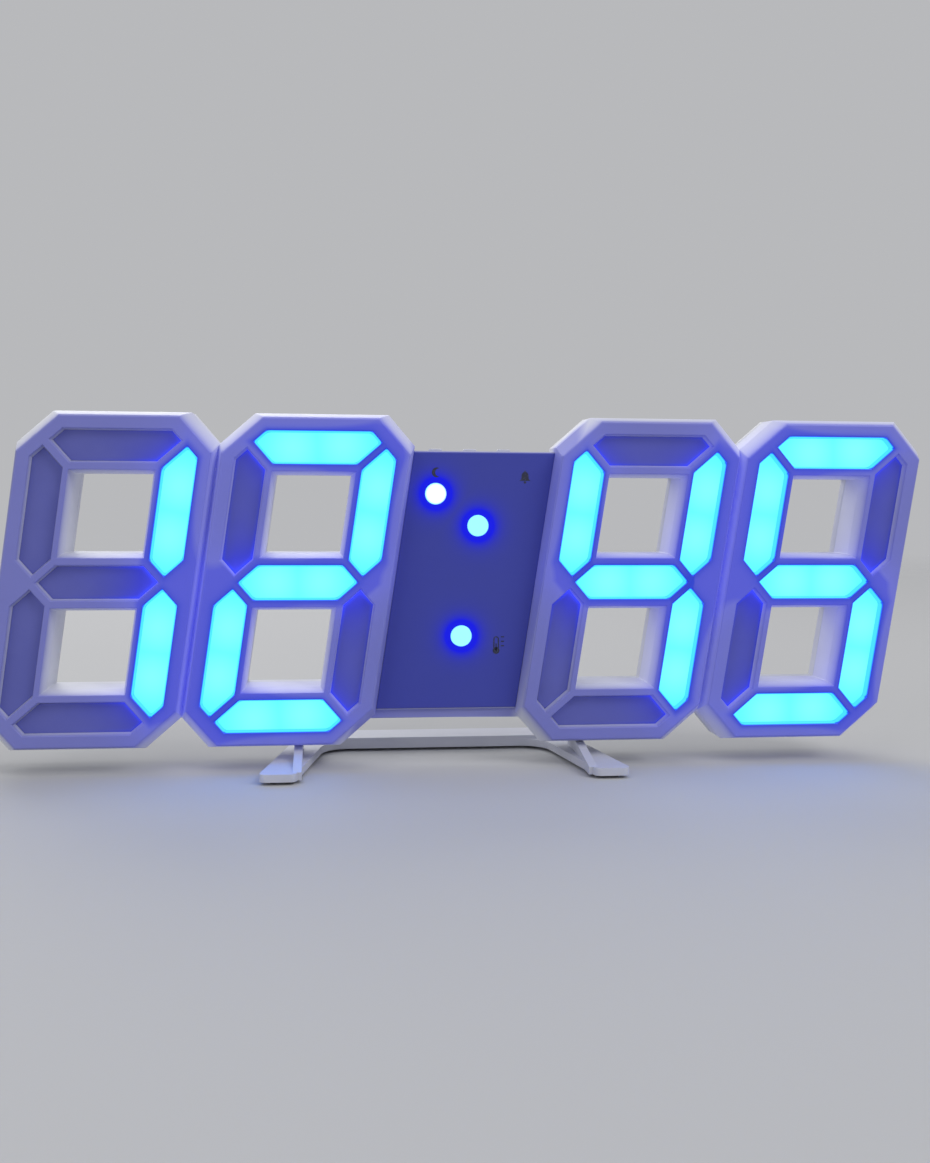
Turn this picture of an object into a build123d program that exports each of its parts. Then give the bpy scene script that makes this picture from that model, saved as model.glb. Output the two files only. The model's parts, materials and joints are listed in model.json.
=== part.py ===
from build123d import *
import math
import os

# Figure of one digit, measured upright before it leans
FIGURE_H = 78.0
FIGURE_W = 41.3
STROKE = 8.55
BAR_STROKE = 9.1
TIP_CUT = 7.2
MITRE_GAP = 1.35
WAIST_GAP = 1.55
BAR_GAP = 1.0
SLANT = 0.146

# Digit frames of the case
SIDE_BORDER = 4.55
END_BORDER = 4.5
CORNER_CUT = 8.0
OPENING_SIDE_GAP = 2.3
OPENING_END_GAP = 2.75
FRONT_INSET = 1.1
FRONT_CORNER_CUT = 9.2
DRAFT_DEPTH = 5.0
EDGE_BREAK = 0.4
OPENING_DRAFT = 1.0
OPENING_DRAFT_DEPTH = 4.0

# Depths through the case
POCKET_DEPTH = 2.0
DIFFUSER_T = 1.2
PANEL_T = 1.5
PANEL_ROOM = 1.5
BOARD_T = 1.2
BODY_D = 16.4
COVER_D = 3.4
SEAM = 0.3
REAR_T = 1.8
REAR_BEVEL = 1.2

# Walls, seats and gaps
WALL = 1.8
TUBE_WALL = 1.3
POCKET_SLOPE = 0.4
LIGHT_LEDGE = 0.7
DIFFUSER_GAP = 0.05
BOARD_GAP = 0.4

# Centre panel
PANEL_W = 37.6
PANEL_END = 5.2
PANEL_LIP = 0.55
CASE_DROP = 1.3
PANEL_LEDGE = 2.0
PANEL_SIDE_GAP = 0.1
PANEL_BOSS_R = 2.2
PANEL_BOSS_EDGE = 6.3
PANEL_BOSS_FOOT = 8.8
PANEL_BOSS_DROP = 24.8

# Dot lamps in the centre panel
DOT_R = 2.75
DOT_GAP = 0.1
DOT_FLANGE = 0.8
DOT_FLANGE_T = 0.5
DOT_PROUD = 0.3
DOT_ROUND = 0.25
PM_DOT_EDGE = 7.4
PM_DOT_DROP = 10.7
COLON_U = 1.1
COLON_SPREAD = 14.7

# Lamps on the boards
LED_SIDE = 2.8
LED_T = 0.7
LED_SPREAD_FLAT = 8.0
LED_SPREAD_TALL = 6.5

# Screws
COVER_SCREW_R = 0.95
COVER_SCREW_HEAD_R = 2.0
COVER_SCREW_HEAD_T = 1.0
COVER_SCREW_L = 7.0
COVER_BOSS_R = 2.6
COVER_SCREW_EDGE = 3.4
COVER_SCREW_END = 14.0
BOARD_SCREW_R = 0.75
BOARD_SCREW_HEAD_R = 1.5
BOARD_SCREW_HEAD_T = 0.9
BOARD_SCREW_GRIP = 2.6
BOARD_SCREW_EDGE = 4.4
PANEL_SCREW_GRIP = 2.0
SCREW_GAP = 0.05
DRIVE_SPAN = 0.7
DRIVE_W = 0.5
DRIVE_T = 0.4

# Flat leads between the boards
JUMPER_DROP = 12.0
JUMPER_W = 5.0
JUMPER_T = 0.4
JUMPER_LAP = 2.5
JUMPER_ROOM = 0.6

# Push buttons and the switches under them
BUTTON_X = 1.4
BUTTON_PITCH = 9.2
BUTTON_W = 3.4
BUTTON_D = 2.4
BUTTON_RISE = 1.25
BUTTON_GAP = 0.12
BUTTON_FLANGE = 0.6
BUTTON_FLANGE_T = 0.8
BUTTON_TRAVEL = 0.6
BUTTON_ROUND = 0.35
SWITCH_W = 4.6
SWITCH_H = 3.4
SWITCH_D = 3.0
PLUNGER_W = 1.8
PLUNGER_H = 0.8

# Parts of the main board
BOARD_TOP_GAP = 2.4
CELL_R = 10.0
CELL_T = 3.2
CELL_DROP = 1.0
CELL_GAP = 0.35
CUP_FLOOR = 0.7
CUP_WALL = 1.1
CUP_H = 2.8
CUP_GAP = 0.1
BUZZER_R = 4.5
BUZZER_H = 4.0
BUZZER_HOLE_R = 0.8
BUZZER_EDGE = 7.8
BUZZER_DROP = 15.8
CHIP_W = 6.0
CHIP_L = 8.6
CHIP_T = 1.7
CHIP_EDGE = 7.8
CHIP_DROP = 15.3
CRYSTAL_W = 6.6
CRYSTAL_H = 2.4
CRYSTAL_T = 2.0
CRYSTAL_EDGE = 8.3
CRYSTAL_FOOT = 14.8
SENSOR_R = 1.5
SENSOR_H = 2.6
SENSOR_ROUND = 0.7
SENSOR_EDGE = 6.8
SENSOR_FOOT = 14.8

# Power inlet
INLET_W = 9.0
INLET_H = 3.3
INLET_WALL = 0.35
INLET_DEPTH = 5.5
INLET_GAP = 0.2
INLET_TONGUE_W = 6.7
INLET_TONGUE_T = 0.7
INLET_FOOT = 8.3

# Quarter-turn battery cap
CAP_MARGIN = 1.4
CAP_GAP = 0.3
CAP_HUB = 1.0
LUG_REACH = 1.8
LUG_W = 6.0
LUG_T = 1.0
LUG_PLAY = 0.15
NOTCH_PLAY = 0.6
CAP_TURN = 60.0
COIN_SLOT_L = 12.0
COIN_SLOT_W = 1.8
COIN_SLOT_T = 0.8

# Openings of the rear cover
KEYHOLE_R = 4.0
KEYHOLE_SLOT_R = 2.0
KEYHOLE_RISE = 7.0
KEYHOLE_EDGE = 7.9
KEYHOLE_LIFT = 8.0
VENT_L = 9.0
VENT_W = 1.2
VENT_PITCH = 2.6
VENT_COUNT = 5

# Stand
PAD_T = 0.8
PAD_L = 9.0
PAD_W = 6.0
PAD_EDGE = 1.5
BODY_LIFT = 5.8
BASE_T = 2.0
BAR_T = 3.0
BAR_D = 11.0
TOE_REACH = 15.0
TAIL_REACH = 33.7
TOE_HALF = 38.0
TOE_W = 9.3
TOE_SPLAY = 0.194
TOE_ROUND = 1.6
CROTCH_ROUND = 8.0
STAND_X = -6.4
RIB_INSET = 0.3
RIB_T = 2.2
RIB_REACH = 13.0
RIB_START = 4.0
TONGUE_D = 2.6
TONGUE_H = 7.0
TONGUE_GAP = 0.15

# Depths that follow, from the back wall forwards: cap lugs, cell, board, centre panel
FRONT_Y = (TOE_REACH - TAIL_REACH) / 2
SPLIT = BODY_D - COVER_D
REAR_INSIDE = BODY_D - REAR_T
LUG_BACK = REAR_INSIDE - LUG_PLAY
BOARD_BACK = LUG_BACK - LUG_T - CELL_GAP - CELL_T - CUP_FLOOR
BLOCK_BACK = BOARD_BACK - BOARD_T
PANEL_BACK = BLOCK_BACK - PANEL_ROOM
PANEL_RECESS = PANEL_BACK - PANEL_T
BUTTON_DEPTH = BOARD_BACK + BUTTON_D / 2
TONGUE_DEPTH = (BOARD_BACK + SPLIT) / 2

# Places across the face that follow
FIGURE_Z = BODY_LIFT + END_BORDER
MID_V = FIGURE_H / 2
PITCH = FIGURE_W + 2 * SIDE_BORDER
HALF_PANEL = PANEL_W / 2
PANEL_LOW = PANEL_END
PANEL_HIGH = FIGURE_H - PANEL_END
JOINT_LOW = CORNER_CUT - END_BORDER
INNER_CENTRE = HALF_PANEL + PITCH / 2
OUTER_CENTRE = INNER_CENTRE + PITCH
DIGIT_CENTRES = (-OUTER_CENTRE, -INNER_CENTRE, INNER_CENTRE, OUTER_CENTRE)
JUNCTIONS = (-HALF_PANEL - PITCH, -HALF_PANEL, HALF_PANEL, HALF_PANEL + PITCH)
BOARD_INSET = WALL + BOARD_GAP
BAR_TOP_Z = FIGURE_Z + PANEL_HIGH
BAR_UNDER_Z = BAR_TOP_Z - WALL
MAIN_TOP_V = PANEL_HIGH - WALL - BOARD_TOP_GAP
CELL_V = MID_V - CELL_DROP
JUMPER_V = MID_V - JUMPER_DROP
CAP_R = CELL_R + CAP_MARGIN
LUG_R = CAP_R + LUG_REACH
RIB_HALF = TOE_HALF - RIB_INSET
PM_DOT = (PM_DOT_EDGE - HALF_PANEL, PANEL_HIGH - PM_DOT_DROP)
UPPER_DOT = (COLON_U, MID_V + COLON_SPREAD)
LOWER_DOT = (COLON_U, MID_V - COLON_SPREAD)
DOT_PLACES = {"pm_dot_lens": PM_DOT, "upper_dot_lens": UPPER_DOT, "lower_dot_lens": LOWER_DOT}
BUZZER_PLACE = (BUZZER_EDGE - HALF_PANEL, PANEL_HIGH - BUZZER_DROP)
CHIP_PLACE = (HALF_PANEL - CHIP_EDGE, PANEL_HIGH - CHIP_DROP)
CRYSTAL_PLACE = (HALF_PANEL - CRYSTAL_EDGE, PANEL_LOW + CRYSTAL_FOOT)
SENSOR_PLACE = (SENSOR_EDGE - HALF_PANEL, PANEL_LOW + SENSOR_FOOT)
INLET_PLACE = (0.0, PANEL_LOW + INLET_FOOT)
KEYHOLE_U = HALF_PANEL + PITCH + KEYHOLE_EDGE
KEYHOLE_V = MID_V + KEYHOLE_LIFT


def place(u, v):
    """Point on the leaning face, u from the centre line and v from the foot of the figures."""
    return (u + SLANT * (v - MID_V), FIGURE_Z + v)


def leaning(points):
    """Outline carried onto the leaning face."""
    return [place(u, v) for u, v in points]


def leaning_box(u0, u1, v0, v1):
    """Four-sided outline with leaning sides."""
    return leaning([(u0, v0), (u1, v0), (u1, v1), (u0, v1)])


def outward(start, end):
    """Unit normal on the right of an edge, which is outside a counter-clockwise outline."""
    run, rise = end[0] - start[0], end[1] - start[1]
    length = math.hypot(run, rise)
    return (rise / length, -run / length)


def grow(points, margin):
    """Outline with every edge moved outwards by margin, or inwards where it is negative."""
    moved = []
    for i, (x, z) in enumerate(points):
        first = outward(points[i - 1], points[i])
        second = outward(points[i], points[(i + 1) % len(points)])
        reach = margin / (1 + first[0] * second[0] + first[1] * second[1])
        moved.append((x + reach * (first[0] + second[0]), z + reach * (first[1] + second[1])))
    return moved


def upright(depth, x=0.0, z=0.0):
    """Plane that faces the viewer, depth behind the front face."""
    return Plane(origin=(x, FRONT_Y + depth, z), x_dir=(1, 0, 0), z_dir=(0, -1, 0))


def slab(points, near, far):
    """Straight block of an outline between two depths."""
    return extrude(upright(near) * Polygon(*points), amount=far - near, dir=(0, 1, 0))


def taper(sections):
    """Flat-sided block through (outline, depth) sections."""
    return loft([(upright(depth) * Polygon(*points)).face() for points, depth in sections], ruled=True)


def prism(sketch, point, near, far):
    """Straight block of a sketch that is centred on a point of the face."""
    return extrude(upright(near, *point) * sketch, amount=far - near, dir=(0, 1, 0))


def rod(point, radius, near, far):
    """Round bar along the depth."""
    return prism(Circle(radius), point, near, far)


def brick(x, z, size_x, size_z, near, far):
    """Upright rectangular block centred on x and z."""
    return prism(Rectangle(size_x, size_z), (x, z), near, far)


def segment_hexagons():
    """Outlines of the seven segments, with the figure's lower left corner at zero."""
    w, h, t = FIGURE_W, FIGURE_H, STROKE
    near, far = (TIP_CUT - MITRE_GAP) / 2, (TIP_CUT + MITRE_GAP) / 2
    waist = MID_V + WAIST_GAP
    tip, half = t / 2 + BAR_GAP, BAR_STROKE / 2
    top = [(TIP_CUT, h), (far, h - near), (t + MITRE_GAP, h - t),
           (w - t - MITRE_GAP, h - t), (w - far, h - near), (w - TIP_CUT, h)]
    side = [(0, h - TIP_CUT), (0, waist + t / 2), (t / 2, waist),
            (t, waist + t / 2), (t, h - t - MITRE_GAP), (near, h - far)]
    bar = [(tip, MID_V), (tip + half, MID_V - half), (w - tip - half, MID_V - half),
           (w - tip, MID_V), (w - tip - half, MID_V + half), (tip + half, MID_V + half)]

    def turned_down(points):
        return [(u, h - v) for u, v in reversed(points)]

    def turned_right(points):
        return [(w - u, v) for u, v in reversed(points)]

    return {"a": top, "b": turned_right(side), "c": turned_right(turned_down(side)),
            "d": turned_down(top), "e": turned_down(side), "f": side, "g": bar}


HEXAGONS = segment_hexagons()


def segment_outline(centre, letter):
    """One segment of the digit that stands at centre."""
    return leaning([(u - FIGURE_W / 2 + centre, v) for u, v in HEXAGONS[letter]])


def eight_sides(centre, inset, cut):
    """Eight-sided outline of a digit frame, inset from its full size."""
    half = PITCH / 2 - inset
    low, high = inset - END_BORDER, FIGURE_H + END_BORDER - inset
    corners = [(-half, low + cut), (-half + cut, low), (half - cut, low), (half, low + cut),
               (half, high - cut), (half - cut, high), (-half + cut, high), (-half, high - cut)]
    return leaning([(u + centre, v) for u, v in corners])


def digit_rim(centre):
    """Full outline of a digit frame."""
    return eight_sides(centre, 0, CORNER_CUT)


def joint_strips():
    """Strips that carry the walls across each joint between frames, where the seam's groove stops."""
    outer = HALF_PANEL + PITCH
    spans = [(HALF_PANEL, HALF_PANEL + WALL, PANEL_HIGH), (outer - WALL, outer + WALL, FIGURE_H - JOINT_LOW)]
    spans += [(-far, -near, high) for near, far, high in spans]
    return [leaning_box(near, far, JOINT_LOW, high) for near, far, high in spans]


def case_foot():
    """Lower bar of the case between the middle digits; its ends run into their cut corners."""
    reach = HALF_PANEL + CASE_DROP
    return leaning_box(-reach, reach, JOINT_LOW - CASE_DROP, PANEL_LOW + WALL)


def digit_openings(centre):
    """The two see-through windows of a digit."""
    half = FIGURE_W / 2 - STROKE - OPENING_SIDE_GAP
    low, high = STROKE + OPENING_END_GAP, MID_V - BAR_STROKE / 2 - OPENING_END_GAP
    lower = leaning_box(centre - half, centre + half, low, high)
    upper = leaning_box(centre - half, centre + half, FIGURE_H - high, FIGURE_H - low)
    return [lower, upper]


def cover_screw_points():
    """Axes of the rear cover's screws."""
    outer, inner = OUTER_CENTRE + PITCH / 2 - COVER_SCREW_EDGE, HALF_PANEL + COVER_SCREW_EDGE
    points = [place(u, MID_V) for u in (-outer, -inner, inner, outer)]
    heights = (COVER_SCREW_END, FIGURE_H - COVER_SCREW_END)
    points += [place(u, v) for u in (JUNCTIONS[0], JUNCTIONS[-1]) for v in heights]
    return points


def board_screw_points():
    """Axes of the screws of the digit boards, beside the joint between two digits."""
    reach = PITCH / 2 - BOARD_SCREW_EDGE
    sides = (reach, -reach, reach, -reach)
    return [place(centre + side, MID_V) for centre, side in zip(DIGIT_CENTRES, sides)]


def panel_screw_points():
    """Axes of the screws that hold the main board to the centre panel."""
    reach = HALF_PANEL - PANEL_BOSS_EDGE
    heights = (PANEL_LOW + PANEL_BOSS_FOOT, PANEL_HIGH - PANEL_BOSS_DROP)
    return [place(side * reach, v) for side in (-1, 1) for v in heights]


def digit_cavity(centre, near, far):
    """Hollow behind a digit, around the window walls and the screw bosses."""
    hollow = slab(grow(digit_rim(centre), -WALL), near, far)
    hollow -= [slab(grow(window, TUBE_WALL), near, far) for window in digit_openings(centre)]
    hollow -= [rod(point, COVER_BOSS_R, near, far) for point in cover_screw_points()]
    return hollow


def button_centres():
    """Places of the three buttons along the top edge, from left to right."""
    return [BUTTON_X + BUTTON_PITCH * step for step in (-1, 0, 1)]


def rib_centres():
    """Places of the stand's two ribs."""
    return [STAND_X - RIB_HALF, STAND_X + RIB_HALF]


def lug_bar(radius, width):
    """Bar across the battery port whose ends are rounded to a radius."""
    return Rectangle(2 * radius + width, width) & Circle(radius)


def light_well(outline):
    """Sloped pocket, diffuser seat and light channel of one segment."""
    seat = grow(outline, -POCKET_SLOPE)
    seat_back = POCKET_DEPTH + DIFFUSER_T
    return [taper([(outline, 0), (seat, POCKET_DEPTH)]), slab(seat, POCKET_DEPTH, seat_back),
            slab(grow(seat, -LIGHT_LEDGE), seat_back, BLOCK_BACK)]


def front_shell():
    """Front moulding: four digit frames and the open frame of the centre panel."""
    shell = Part()
    for centre in DIGIT_CENTRES:
        rim, edge = digit_rim(centre), eight_sides(centre, FRONT_INSET, FRONT_CORNER_CUT)
        shell += taper([(grow(edge, -EDGE_BREAK), 0), (edge, EDGE_BREAK), (rim, DRAFT_DEPTH)])
        shell += slab(rim, DRAFT_DEPTH, SPLIT - SEAM)
        shell += taper([(rim, SPLIT - SEAM), (grow(rim, -SEAM), SPLIT)])
    shell += [slab(strip, SPLIT - SEAM, SPLIT) for strip in joint_strips()]
    shell += slab(case_foot(), PANEL_BACK, SPLIT)
    shell += slab(leaning_box(-HALF_PANEL, HALF_PANEL, PANEL_HIGH - WALL, PANEL_HIGH), PANEL_BACK, SPLIT)
    for inner, outer in ((-HALF_PANEL, -HALF_PANEL + PANEL_LEDGE), (HALF_PANEL - PANEL_LEDGE, HALF_PANEL)):
        shell += slab(leaning_box(inner, outer, PANEL_LOW, PANEL_HIGH), PANEL_BACK, BLOCK_BACK)

    cuts = []
    for centre in DIGIT_CENTRES:
        cuts.append(digit_cavity(centre, BLOCK_BACK, SPLIT))
        for letter in HEXAGONS:
            cuts += light_well(segment_outline(centre, letter))
        for window in digit_openings(centre):
            cuts.append(slab(window, 0, SPLIT))
            cuts.append(taper([(grow(window, OPENING_DRAFT), 0), (window, OPENING_DRAFT_DEPTH)]))
    screw_end = BODY_D - COVER_SCREW_HEAD_T - COVER_SCREW_L
    for point in cover_screw_points():
        cuts.append(rod(point, COVER_SCREW_R + SCREW_GAP, screw_end - WALL / 2, SPLIT))
    board_screw_end = BLOCK_BACK - BOARD_SCREW_GRIP - SCREW_GAP
    for point in board_screw_points():
        cuts.append(rod(point, BOARD_SCREW_R + SCREW_GAP, board_screw_end, BLOCK_BACK))
    for u in JUNCTIONS:
        x, z = place(u, JUMPER_V)
        cuts.append(brick(x, z, 2 * (WALL + JUMPER_ROOM), JUMPER_W + 2 * JUMPER_ROOM,
                          BOARD_BACK - JUMPER_ROOM, BOARD_BACK + JUMPER_T + JUMPER_ROOM))
    for x in button_centres():
        near = BUTTON_DEPTH - BUTTON_D / 2 - BUTTON_GAP
        cuts.append(brick(x, (BAR_TOP_Z + BAR_UNDER_Z) / 2, BUTTON_W + 2 * BUTTON_GAP, 2 * WALL,
                          near, near + BUTTON_D + 2 * BUTTON_GAP))
    for x in rib_centres():
        near = TONGUE_DEPTH - TONGUE_D / 2 - TONGUE_GAP
        cuts.append(brick(x, BODY_LIFT, RIB_T + 2 * TONGUE_GAP, 3 * WALL,
                          near, near + TONGUE_D + 2 * TONGUE_GAP))
    return shell - cuts


def rear_cover():
    """Back half of the case, with its screw seats, keyholes, vents, inlet and battery port."""
    bevel_start = BODY_D - REAR_BEVEL
    cover = slab(leaning_box(-HALF_PANEL, HALF_PANEL, JOINT_LOW, PANEL_HIGH), SPLIT, BODY_D)
    cover += slab(case_foot(), SPLIT, bevel_start)
    for centre in DIGIT_CENTRES:
        rim = digit_rim(centre)
        cover += taper([(grow(rim, -SEAM), SPLIT), (rim, SPLIT + SEAM)])
        cover += slab(rim, SPLIT + SEAM, bevel_start)
        cover += taper([(rim, bevel_start), (grow(rim, -REAR_BEVEL), BODY_D)])
    cover += [slab(strip, SPLIT, SPLIT + SEAM) for strip in joint_strips()]

    room = leaning_box(-HALF_PANEL, HALF_PANEL, PANEL_LOW + WALL, PANEL_HIGH - WALL)
    cuts = [slab(room, SPLIT, REAR_INSIDE)]
    for centre in DIGIT_CENTRES:
        cuts.append(digit_cavity(centre, SPLIT, REAR_INSIDE))
        cuts += [slab(window, SPLIT, BODY_D) for window in digit_openings(centre)]
    for point in cover_screw_points():
        cuts.append(rod(point, COVER_SCREW_R + SCREW_GAP, SPLIT, BODY_D))
        cuts.append(rod(point, COVER_SCREW_HEAD_R + SCREW_GAP, BODY_D - COVER_SCREW_HEAD_T, BODY_D))
    for u in (-KEYHOLE_U, KEYHOLE_U):
        x, z = place(u, KEYHOLE_V)
        cuts.append(rod((x, z), KEYHOLE_R, REAR_INSIDE, BODY_D))
        cuts.append(rod((x, z + KEYHOLE_RISE), KEYHOLE_SLOT_R, REAR_INSIDE, BODY_D))
        cuts.append(brick(x, z + KEYHOLE_RISE / 2, 2 * KEYHOLE_SLOT_R, KEYHOLE_RISE, REAR_INSIDE, BODY_D))
    vent_x, vent_z = place(0, BUZZER_PLACE[1])
    for step in range(VENT_COUNT):
        z = vent_z + VENT_PITCH * (step - (VENT_COUNT - 1) / 2)
        cuts.append(prism(SlotOverall(VENT_L, VENT_W), (vent_x, z), REAR_INSIDE, BODY_D))
    cuts.append(prism(SlotOverall(INLET_W + 2 * INLET_GAP, INLET_H + 2 * INLET_GAP), place(*INLET_PLACE),
                      REAR_INSIDE, BODY_D))
    port = place(0, CELL_V)
    cuts.append(rod(port, CAP_R + CAP_GAP, REAR_INSIDE, BODY_D))
    notch = lug_bar(LUG_R + CAP_GAP, LUG_W + 2 * NOTCH_PLAY)
    cuts.append(prism(Rot(0, 0, -CAP_TURN) * notch, port, REAR_INSIDE, BODY_D))
    return cover - cuts


def centre_panel():
    """Recessed plate between the middle digits, with holes for the dots and bosses for the main board."""
    half = HALF_PANEL - PANEL_SIDE_GAP
    face = leaning_box(-half, half, PANEL_LOW, PANEL_HIGH)
    back = leaning_box(-half, half, PANEL_LOW - PANEL_LIP, PANEL_HIGH + PANEL_LIP)
    panel = taper([(face, PANEL_RECESS), (back, PANEL_RECESS + PANEL_LIP)])
    panel += slab(back, PANEL_RECESS + PANEL_LIP, PANEL_BACK)
    for point in panel_screw_points():
        panel += rod(point, PANEL_BOSS_R, PANEL_BACK, BLOCK_BACK)
    holes = [rod(place(*spot), DOT_R + DOT_GAP, PANEL_RECESS, PANEL_BACK) for spot in DOT_PLACES.values()]
    tip = BLOCK_BACK - PANEL_SCREW_GRIP - SCREW_GAP
    holes += [rod(point, BOARD_SCREW_R + SCREW_GAP, tip, BLOCK_BACK) for point in panel_screw_points()]
    return panel - holes


def diffuser(centre, letter):
    """Milky plate that fills the seat of one segment."""
    outline = grow(segment_outline(centre, letter), -POCKET_SLOPE - DIFFUSER_GAP)
    return slab(outline, POCKET_DEPTH, POCKET_DEPTH + DIFFUSER_T)


def dot_lens(spot):
    """Round lens of a dot lamp, with a flange behind the panel."""
    point = place(*spot)
    lens = rod(point, DOT_R, PANEL_RECESS - DOT_PROUD, PANEL_BACK)
    lens = fillet(lens.edges().group_by(Axis.Y)[0], DOT_ROUND)
    return lens + rod(point, DOT_R + DOT_FLANGE, PANEL_BACK, PANEL_BACK + DOT_FLANGE_T)


def digit_board(centre):
    """Circuit board behind one digit, cut round the windows, bosses and screw."""
    board = slab(grow(digit_rim(centre), -BOARD_INSET), BLOCK_BACK, BOARD_BACK)
    board -= [slab(grow(window, TUBE_WALL + BOARD_GAP), BLOCK_BACK, BOARD_BACK)
              for window in digit_openings(centre)]
    board -= [rod(point, COVER_BOSS_R + BOARD_GAP, BLOCK_BACK, BOARD_BACK) for point in cover_screw_points()]
    board -= [rod(point, BOARD_SCREW_R + SCREW_GAP, BLOCK_BACK, BOARD_BACK) for point in board_screw_points()]
    return board


def main_board():
    """Circuit board behind the centre panel."""
    half = HALF_PANEL - BOARD_GAP
    outline = leaning_box(-half, half, PANEL_LOW + WALL + BOARD_GAP, MAIN_TOP_V)
    board = slab(outline, BLOCK_BACK, BOARD_BACK)
    return board - [rod(point, BOARD_SCREW_R + SCREW_GAP, BLOCK_BACK, BOARD_BACK)
                    for point in panel_screw_points()]


def segment_leds():
    """Two square lamps under every diffuser, on the front of the digit boards."""
    lamps = []
    for centre in DIGIT_CENTRES:
        for letter, points in HEXAGONS.items():
            middle_u = sum(u for u, _ in points) / len(points) - FIGURE_W / 2 + centre
            middle_v = sum(v for _, v in points) / len(points)
            flat = letter in "adg"
            for side in (-1, 1):
                step_u, step_v = (side * LED_SPREAD_FLAT, 0) if flat else (0, side * LED_SPREAD_TALL)
                x, z = place(middle_u + step_u, middle_v + step_v)
                lamps.append(brick(x, z, LED_SIDE, LED_SIDE, BLOCK_BACK - LED_T, BLOCK_BACK))
    return lamps


def dot_leds():
    """One lamp behind each dot lens, on the front of the main board."""
    return [brick(*place(*spot), LED_SIDE, LED_SIDE, BLOCK_BACK - LED_T, BLOCK_BACK)
            for spot in DOT_PLACES.values()]


def screw(point, radius, head_radius, head_t, seat, length):
    """Screw with a cross-cut head that stands on its seat, pointing to the front."""
    body = rod(point, head_radius, seat, seat + head_t) + rod(point, radius, seat - length, seat)
    arm = 2 * head_radius * DRIVE_SPAN
    cross = Rectangle(arm, DRIVE_W) + Rectangle(DRIVE_W, arm)
    return body - prism(cross, point, seat + head_t - DRIVE_T, seat + head_t)


def cover_screws():
    """Screws of the rear cover."""
    return [screw(point, COVER_SCREW_R, COVER_SCREW_HEAD_R, COVER_SCREW_HEAD_T,
                  BODY_D - COVER_SCREW_HEAD_T, COVER_SCREW_L) for point in cover_screw_points()]


def board_screws():
    """Screws of the digit boards and of the main board."""
    sizes = (BOARD_SCREW_R, BOARD_SCREW_HEAD_R, BOARD_SCREW_HEAD_T, BOARD_BACK)
    screws = [screw(point, *sizes, BOARD_T + BOARD_SCREW_GRIP) for point in board_screw_points()]
    return screws + [screw(point, *sizes, BOARD_T + PANEL_SCREW_GRIP) for point in panel_screw_points()]


def ribbon_jumpers():
    """Flat leads laid over the edges of neighbouring boards."""
    leads = []
    for u in JUNCTIONS:
        x, z = place(u, JUMPER_V)
        length = 2 * (BOARD_INSET + JUMPER_LAP)
        leads.append(brick(x, z, length, JUMPER_W, BOARD_BACK, BOARD_BACK + JUMPER_T))
    return leads


def button(x):
    """Push button with a flange that catches under the top edge."""
    flange_top = BAR_UNDER_Z - BUTTON_GAP
    near, far = BUTTON_DEPTH - BUTTON_D / 2, BUTTON_DEPTH + BUTTON_D / 2
    height = BAR_TOP_Z + BUTTON_RISE - flange_top
    cap = brick(x, flange_top + height / 2, BUTTON_W, height, near, far)
    cap = fillet(cap.edges().group_by(Axis.Z)[-1], BUTTON_ROUND)
    flange_w = BUTTON_W + 2 * BUTTON_FLANGE
    return cap + brick(x, flange_top - BUTTON_FLANGE_T / 2, flange_w, BUTTON_FLANGE_T, near, far)


def tact_switches():
    """Switch bodies under the buttons, each with its plunger pointing up."""
    switches = []
    plunger_top = BAR_UNDER_Z - 2 * BUTTON_GAP - BUTTON_FLANGE_T - BUTTON_TRAVEL
    body_z = plunger_top - PLUNGER_H - SWITCH_H / 2
    middle = BOARD_BACK + SWITCH_D / 2
    for x in button_centres():
        body = brick(x, body_z, SWITCH_W, SWITCH_H, BOARD_BACK, BOARD_BACK + SWITCH_D)
        plunger = brick(x, plunger_top - PLUNGER_H / 2, PLUNGER_W, PLUNGER_H,
                        middle - PLUNGER_W / 2, middle + PLUNGER_W / 2)
        switches.append(body + plunger)
    return switches


def coin_cell_holder():
    """Round cup for the back-up cell."""
    centre = place(0, CELL_V)
    inside = CELL_R + CUP_GAP
    cup = rod(centre, inside + CUP_WALL, BOARD_BACK, BOARD_BACK + CUP_H)
    return cup - rod(centre, inside, BOARD_BACK + CUP_FLOOR, BOARD_BACK + CUP_H)


def coin_cell():
    """Round back-up cell that lies in its cup."""
    start = BOARD_BACK + CUP_FLOOR
    return rod(place(0, CELL_V), CELL_R, start, start + CELL_T)


def battery_cap():
    """Quarter-turn cap with two lugs behind the rear wall and a slot for a coin."""
    centre = place(0, CELL_V)
    cap = rod(centre, CAP_R, REAR_INSIDE, BODY_D)
    cap += rod(centre, CAP_R - CAP_HUB, LUG_BACK, REAR_INSIDE)
    cap += prism(lug_bar(LUG_R, LUG_W), centre, LUG_BACK - LUG_T, LUG_BACK)
    return cap - prism(SlotOverall(COIN_SLOT_L, COIN_SLOT_W), centre, BODY_D - COIN_SLOT_T, BODY_D)


def power_socket():
    """Flat oval low-voltage inlet with its contact tongue."""
    centre = place(*INLET_PLACE)
    shell = prism(SlotOverall(INLET_W, INLET_H), centre, BOARD_BACK, BODY_D)
    shell -= prism(SlotOverall(INLET_W - 2 * INLET_WALL, INLET_H - 2 * INLET_WALL), centre,
                   BODY_D - INLET_DEPTH, BODY_D)
    return shell + brick(*centre, INLET_TONGUE_W, INLET_TONGUE_T, BODY_D - INLET_DEPTH, BODY_D - INLET_WALL)


def buzzer():
    """Round alarm sounder with its sound hole."""
    centre = place(*BUZZER_PLACE)
    can = rod(centre, BUZZER_R, BOARD_BACK, BOARD_BACK + BUZZER_H)
    return can - rod(centre, BUZZER_HOLE_R, BOARD_BACK + BUZZER_H / 2, BOARD_BACK + BUZZER_H)


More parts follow.
